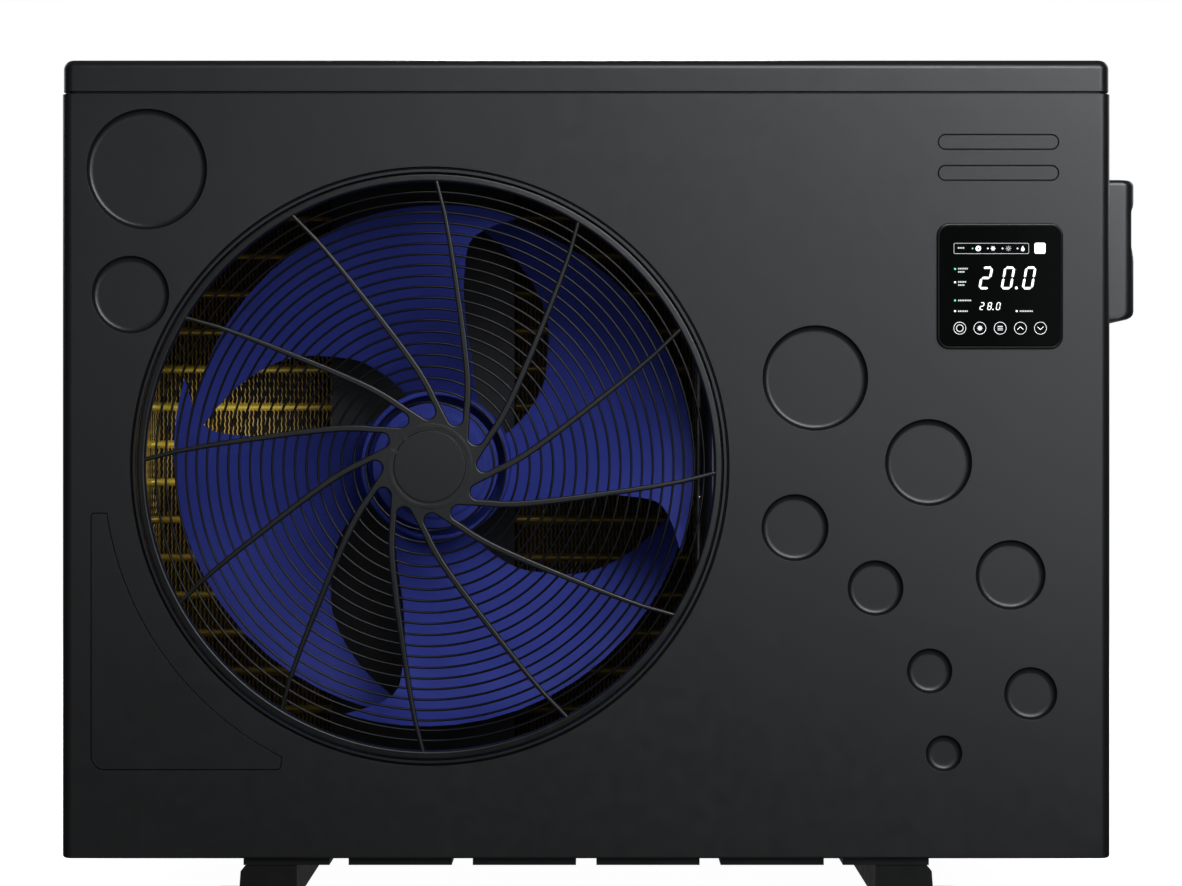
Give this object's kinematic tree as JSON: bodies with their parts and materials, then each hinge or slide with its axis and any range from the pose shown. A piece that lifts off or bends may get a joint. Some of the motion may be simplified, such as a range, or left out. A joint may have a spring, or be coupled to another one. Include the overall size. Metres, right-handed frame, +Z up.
{
  "type": "pool heat pump unit",
  "caption": "Outdoor pool heat pump: black box casing with a large swept fan guard over a blue axial fan, recessed round dimples, a square controller and rear water unions.",
  "frame": {"origin": "centre of the unit's footprint box, on the ground under the rubber pads", "axes": "+X to the right seen from the front, +Y from the front towards the back where the water unions are, +Z up"},
  "size_m": [1.047, 0.4732, 0.809],
  "materials": {
    "casing_plastic": "satin black, fine even grain",
    "casing_steel": "black powder coat",
    "chassis_steel": "black paint, slight gloss",
    "guard_plastic": "satin black",
    "fan_plastic": "moulded blue, soft sheen",
    "zinc_steel": "galvanised",
    "bracket_steel": "dark grey paint",
    "motor_paint": "black paint",
    "fin_gold": "gold corrosion coating on thin fins",
    "copper": "drawn copper",
    "rubber": "dull black",
    "pvc": "light grey PVC",
    "black_plastic": "black",
    "screen": "black gloss window",
    "board": "green circuit board"
  },
  "bodies": {
    "cabinet": {"front_panel": "casing_plastic", "top_cover": "casing_plastic", "terminal_cover": "casing_plastic", "left_side_panel": "casing_steel", "right_side_panel": "casing_steel", "rear_service_panel": "casing_steel", "rear_coil_guard": "casing_steel", "base_pan": "chassis_steel", "foot_rail_left": "chassis_steel", "foot_rail_right": "chassis_steel", "fan_guard": "guard_plastic", "guard_hub_cap": "guard_plastic", "motor_screw_1": "zinc_steel", "motor_screw_2": "zinc_steel", "motor_screw_3": "zinc_steel", "motor_screw_4": "zinc_steel", "partition_plate": "zinc_steel", "coil_end_plate": "zinc_steel", "electrical_box": "zinc_steel", "electrical_box_lid": "zinc_steel", "expansion_valve": "zinc_steel", "motor_bracket": "bracket_steel", "fan_motor": "motor_paint", "compressor": "motor_paint", "suction_accumulator": "motor_paint", "evaporator_fins": "fin_gold", "four_way_valve": "copper", "discharge_pipe": "copper", "suction_pipe": "copper", "accumulator_pipe": "copper", "coil_gas_pipe": "copper", "exchanger_gas_pipe": "copper", "liquid_pipe": "copper", "coil_liquid_pipe": "copper", "air_sensor": "copper", "rubber_pad_front_left": "rubber", "rubber_pad_front_right": "rubber", "rubber_pad_rear_left": "rubber", "rubber_pad_rear_right": "rubber", "drain_nozzle": "rubber", "compressor_terminal_cap": "rubber", "compressor_grommet_1": "rubber", "compressor_grommet_2": "rubber", "compressor_grommet_3": "rubber", "cable_gland": "rubber", "heat_exchanger": "pvc", "water_inlet_tail": "pvc", "water_outlet_tail": "pvc", "water_flow_switch": "black_plastic", "terminal_block": "black_plastic", "display_bezel": "black_plastic", "display_glass": "screen", "control_board": "board", "display_board": "board"},
    "fan_rotor": {"fan_propeller": "fan_plastic", "fan_nut": "zinc_steel", "motor_shaft": "zinc_steel"},
    "inlet_nut": {"inlet_union_nut": "black_plastic"},
    "outlet_nut": {"outlet_union_nut": "black_plastic"}
  },
  "joints": [
    {"name": "fan_spin", "type": "hinge", "parent": "cabinet", "child": "fan_rotor", "pos_m": [-0.1725, -0.11345, 0.4215], "axis": [0, 1, 0], "continuous": true},
    {"name": "inlet_nut_turn", "type": "hinge", "parent": "cabinet", "child": "inlet_nut", "pos_m": [0.3685, 0.18455, 0.14], "axis": [0, 1, 0], "continuous": true},
    {"name": "outlet_nut_turn", "type": "hinge", "parent": "cabinet", "child": "outlet_nut", "pos_m": [0.3685, 0.18455, 0.42], "axis": [0, 1, 0], "continuous": true}
  ]
}
